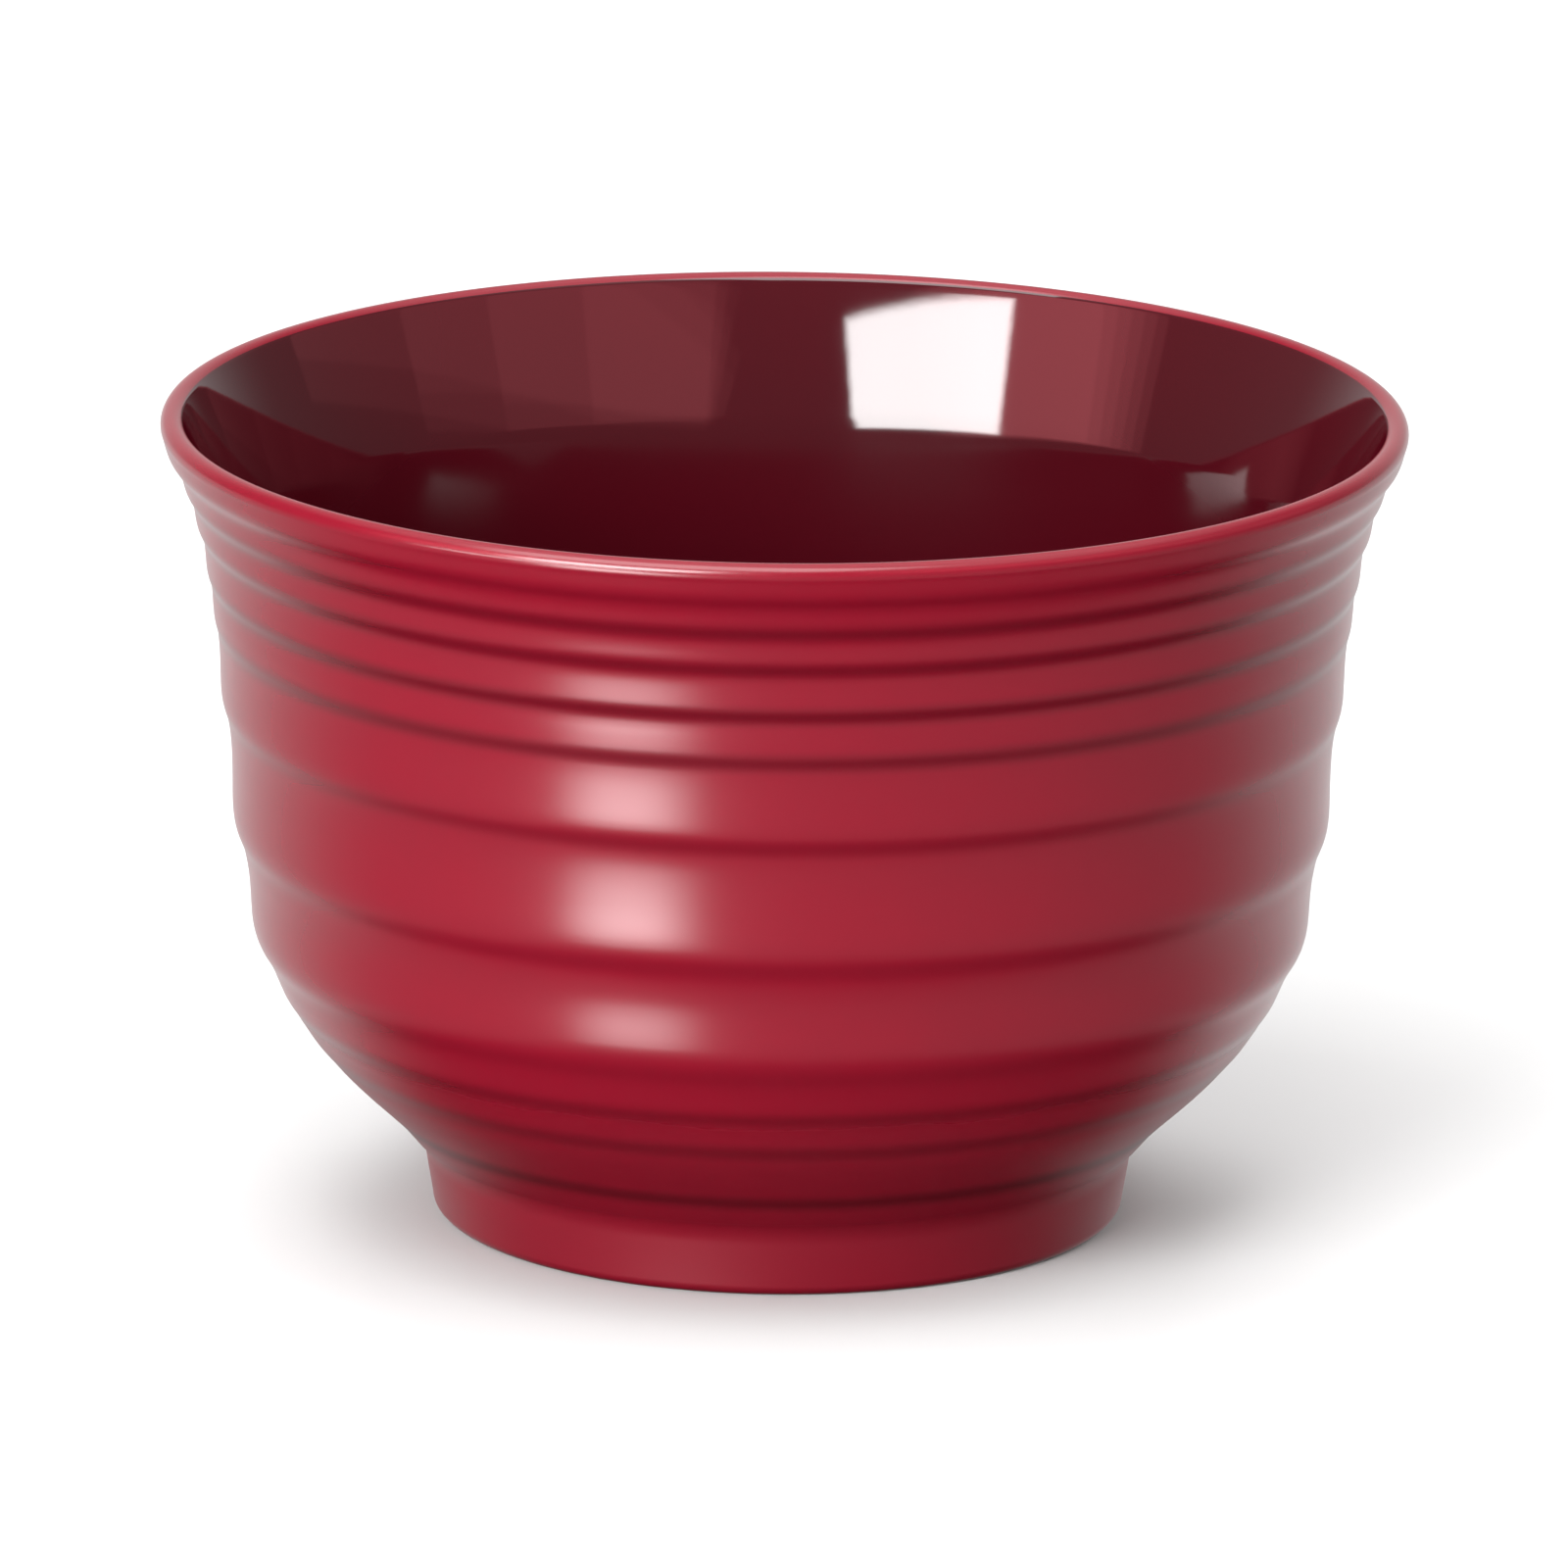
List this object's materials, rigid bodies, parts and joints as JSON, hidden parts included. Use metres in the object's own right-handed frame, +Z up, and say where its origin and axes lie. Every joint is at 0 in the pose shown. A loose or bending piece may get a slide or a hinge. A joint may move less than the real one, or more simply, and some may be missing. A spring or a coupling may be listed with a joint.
{
  "type": "rice bowl",
  "caption": "Deep round rice bowl in red lacquer-look resin, with a flared rounded lip, turned ridges outside, a gloss inside and a foot ring to stand on.",
  "frame": {"origin": "centre of the circle on which the foot ring bears, on the table plane", "axes": "+Z up along the bowl's axis through the mouth; +X and +Y are any two square directions across the round rim"},
  "size_m": [0.12, 0.12, 0.0787],
  "materials": {
    "core_resin": "bare compression-moulded thermoset resin, seen only on the bearing edge of the foot",
    "satin_coat": "satin sprayed urethane coat in dark red",
    "gloss_coat": "full-gloss sprayed urethane coat in deep red",
    "recess_coat": "satin sprayed urethane coat in dark red, under the foot"
  },
  "bodies": {
    "root": {"moulded_core": "core_resin", "outer_satin_coat": "satin_coat", "inner_gloss_coat": "gloss_coat", "foot_recess_coat": "recess_coat"}
  },
  "joints": []
}
